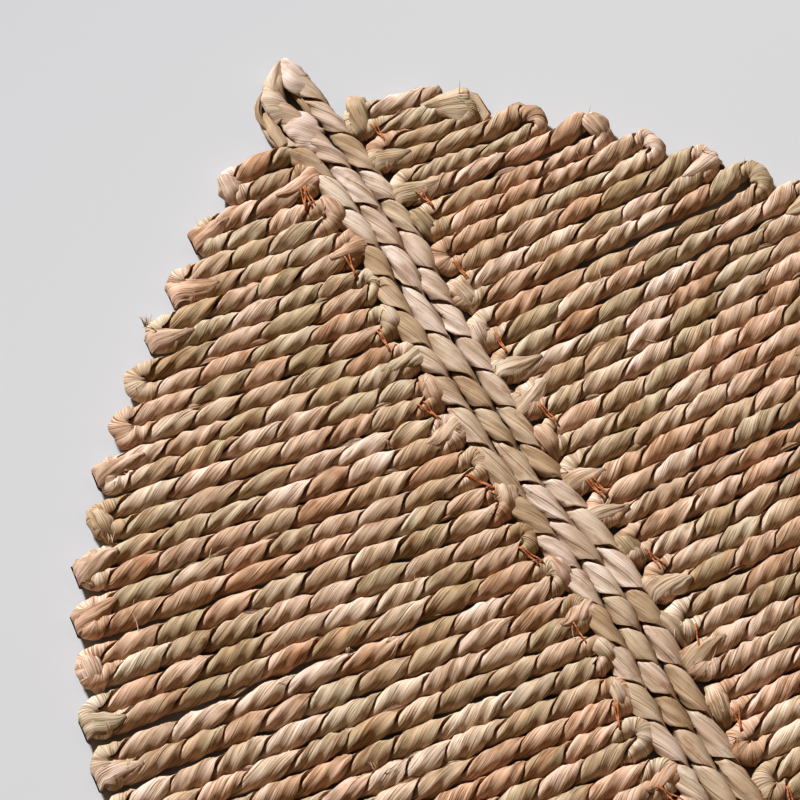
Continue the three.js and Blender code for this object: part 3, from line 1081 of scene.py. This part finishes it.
def husk_material(name, tints, contrast=1.0):
    n = Nodes(name)
    down, across = n.places("husk")
    layer, tail = n.places("edge")
    picks = n.add("ShaderNodeVertexColor", layer_name="picks").outputs[0]
    tint, shade, lip = n.add("ShaderNodeSeparateColor", {0: picks}).outputs[:3]

    broad = n.streaks(down, across, 0.035, 0.4, 2.0, 11.3)
    ribs = n.streaks(down, across, 0.035, 2.3, 1.0, 3.7)
    fine = n.streaks(down, across, 0.04, 4.4, 1.0, 7.9)
    stain = n.streaks(down, across, 0.09, 0.16, 3.0, 23.1)
    patch = n.streaks(down, across, 0.05, 0.1, 1.0, 41.9)
    worn = n.streaks(down, across, 0.12, 0.3, 1.0, 57.3)
    valley = n.math("ABSOLUTE", n.math("MULTIPLY_ADD", ribs, 2.0, -1.0))
    crease = n.spread(valley, 0.02, 0.2, 1.0, 0.0)
    crease = n.math("MULTIPLY", crease, n.spread(worn, 0.35, 0.62, 0.3, 1.0))

    tint = n.spread(tint, 0.0, 1.0, 0.08, 0.95)
    colour = n.ramp(n.math("ADD", tint, n.spread(broad, 0.2, 0.8, -0.05, 0.05)), tints)
    value = n.spread(shade, 0.0, 1.0, 0.84, 1.04)
    for factor in (
        n.spread(broad, 0.25, 0.75, 0.92, 1.03),
        n.math("MULTIPLY_ADD", crease, -0.45 * contrast, 1.01),
        n.spread(fine, 0.3, 0.7, 1 - 0.17 * contrast, 1 + 0.06 * contrast),
        # Painted shade: a thin dark line along each husk layer's edge, where its step would shade
        n.spread(n.math("ABSOLUTE", layer), 0.03, 0.2, 0.6, 1.0),
        n.spread(patch, 0.3, 0.7, 0.88, 1.04),
    ):
        value = n.math("MULTIPLY", value, factor)
    depth = {0: value, 1: n.math("POWER", value, 1.3), 2: n.math("POWER", value, 1.8)}
    colour = n.mix(1.0, colour, n.add("ShaderNodeCombineColor", depth).outputs[0], "MULTIPLY")
    dirt = n.math("MULTIPLY", n.spread(stain, 0.58, 0.78), 0.5)
    colour = n.mix(dirt, colour, srgb(150, 98, 58))
    # Painted shade: each ply's tail, where it runs in under the other ply's lip, is mixed towards
    # dark brown.
    colour = n.mix(n.spread(tail, 0.86, 1.0, 0.0, 0.8), colour, srgb(84, 44, 20))
    # Painted shade: a dark brown line along each ply's lip edge, and on the husk straps' rims and
    # undersides.
    colour = n.mix(n.spread(lip, 0.95, 1.0, 0.0, 0.45), colour, srgb(98, 54, 26))

    height = n.math("MULTIPLY_ADD", crease, -0.7, n.math("MULTIPLY", fine, 0.4))
    height = n.math("ADD", height, n.math("MULTIPLY", broad, 0.8))
    height = n.math("ADD", height, n.spread(layer, -0.08, 0.08, -0.4, 0.4))
    roughness = n.spread(ribs, 0.3, 0.7, 0.6, 0.74)
    return n.finish(colour, roughness, height, 0.0003, 0.75 * contrast, 0.2)


def thread_material():
    n = Nodes("thread")
    down, _ = n.places("husk")
    lays = n.add("ShaderNodeTexNoise", {"Scale": 9000.0, "Detail": 2.0})
    twist = n.math("SINE", n.math("MULTIPLY", down, 5.2))
    colour = n.mix(n.spread(twist, -1.0, 1.0), srgb(204, 140, 98), srgb(186, 122, 82))
    height = n.math("ADD", n.math("MULTIPLY", twist, 0.25), lays.outputs[0])
    return n.finish(colour, 0.75, height, 0.0001)


def floor_material():
    n = Nodes("floor")
    spots = n.add("ShaderNodeTexNoise", {"Scale": 3.0, "Detail": 2.0})
    place = n.add("ShaderNodeSeparateXYZ", {0: n.add("ShaderNodeTexCoord").outputs["Object"]})
    colour = n.mix(n.spread(spots.outputs[0], 0.3, 0.7), srgb(197, 196, 196), srgb(199, 198, 198))
    # Painted shade: the floor is made darker towards its far left, as if the lamp's light fell off
    # there.
    far_shade = n.math("ADD", n.math("MULTIPLY", place.outputs[0], -0.3), place.outputs[1])
    colour = n.mix(n.spread(far_shade, 0.12, 0.5), colour, srgb(182, 181, 182))
    return n.finish(colour, 0.9, spots.outputs[0], 0.0001, 0.1, 0.2)


# Stage

def make_lamp():
    light = bpy.data.lights.new("key", "AREA")
    light.shape = "DISK"
    light.size = LIGHT_SIZE
    light.energy = LIGHT_POWER
    light.color = LIGHT_COLOUR
    lamp = bpy.data.objects.new("key", light)
    place = LIGHT_DISTANCE * aimed(LIGHT_TURN, LIGHT_ELEVATION)
    lamp.location = place
    lamp.rotation_euler = (-place).to_track_quat("-Z", "Y").to_euler()
    show(lamp)


def make_stage():
    mesh = bpy.data.meshes.new("floor")
    corners = [(x * FLOOR_REACH, y * FLOOR_REACH, 0) for x, y in ((-1, -1), (1, -1), (1, 1), (-1, 1))]
    mesh.from_pydata(corners, [], [(0, 1, 2, 3)])
    mesh.materials.append(floor_material())
    floor = bpy.data.objects.new("floor", mesh)
    floor.location.z = -FLOOR_DROP
    show(floor)

    make_lamp()
    world = bpy.data.worlds.new("studio")
    world.use_nodes = True
    background = world.node_tree.nodes["Background"]
    background.inputs[0].default_value = SKY_COLOUR
    background.inputs[1].default_value = SKY_STRENGTH
    bpy.context.scene.world = world
    bpy.context.scene.view_settings.view_transform = "Standard"
    bpy.context.scene.view_settings.look = "High Contrast"


def aimed(turn, elevation):
    """The direction at angles, in degrees, round from the picture's right and up from the floor."""
    heading = math.radians(CAMERA_AZIMUTH)
    turn, elevation = math.radians(turn), math.radians(elevation)
    right = Vector((math.cos(heading), -math.sin(heading), 0))
    away = Vector((math.sin(heading), math.cos(heading), 0))
    flat = right * math.cos(turn) + away * math.sin(turn)
    return flat * math.cos(elevation) + Vector((0, 0, math.sin(elevation)))


def make_camera():
    elevation, heading = math.radians(CAMERA_ELEVATION), math.radians(CAMERA_AZIMUTH)
    look = np.array([
        math.sin(heading) * math.cos(elevation),
        math.cos(heading) * math.cos(elevation),
        -math.sin(elevation),
    ])
    camera = bpy.data.cameras.new("camera")
    camera.sensor_width = SENSOR_WIDTH
    camera.lens = FOCAL_WIDTHS * SENSOR_WIDTH
    camera.clip_start, camera.clip_end = 0.05, 20
    eye = bpy.data.objects.new("camera", camera)
    eye.location = to_frame(CAMERA_TARGET - look * CAMERA_DISTANCE)
    eye.rotation_euler = Vector(look).to_track_quat("-Z", "Y").to_euler()
    show(eye)
    bpy.context.scene.camera = eye


make_camera()
make_stage()
husk = husk_material("husk_rope", HUSK_TINTS)
pale_husk = husk_material("midrib_rope", RIB_TINTS, 0.6)
thread = thread_material()
make_field("left", LEFT_HALF, LEFT_STRAPS, [], husk, "left_field", LEFT_SEED)
make_field("right", RIGHT_HALF, RIGHT_STRAPS, FIRST_FANS, husk, "right_field", RIGHT_SEED)
tip_points = np.concatenate([column(RIB_SPACING)[::-1], TIP_LEGS, column(0.0)])
tip_rope = rib_rope(tip_points, TIP_SEED, narrow_at=TIP_POINT)
make_rope("tip_rope", tip_rope, pale_husk, "tip_rope", TIP_SEED)
side_points = np.concatenate([[(x, y) for x, y, _ in SIDE_HEAD], column(-RIB_SPACING)])
side_sizes = [(SIDE_HEAD[0][1] - y, size) for _, y, size in SIDE_HEAD]
side_rope = rib_rope(side_points, SIDE_SEED, side_sizes)
make_rope("side_rope", side_rope, pale_husk, "side_rope", SIDE_SEED)
tip_rng = np.random.default_rng(TIP_HUSK_SEED)
tip_skins = [placed_strap(shape, tip_rng) for shape in TIP_HUSKS]
joined("tip_husks", tip_skins, pale_husk, "tip_rope")
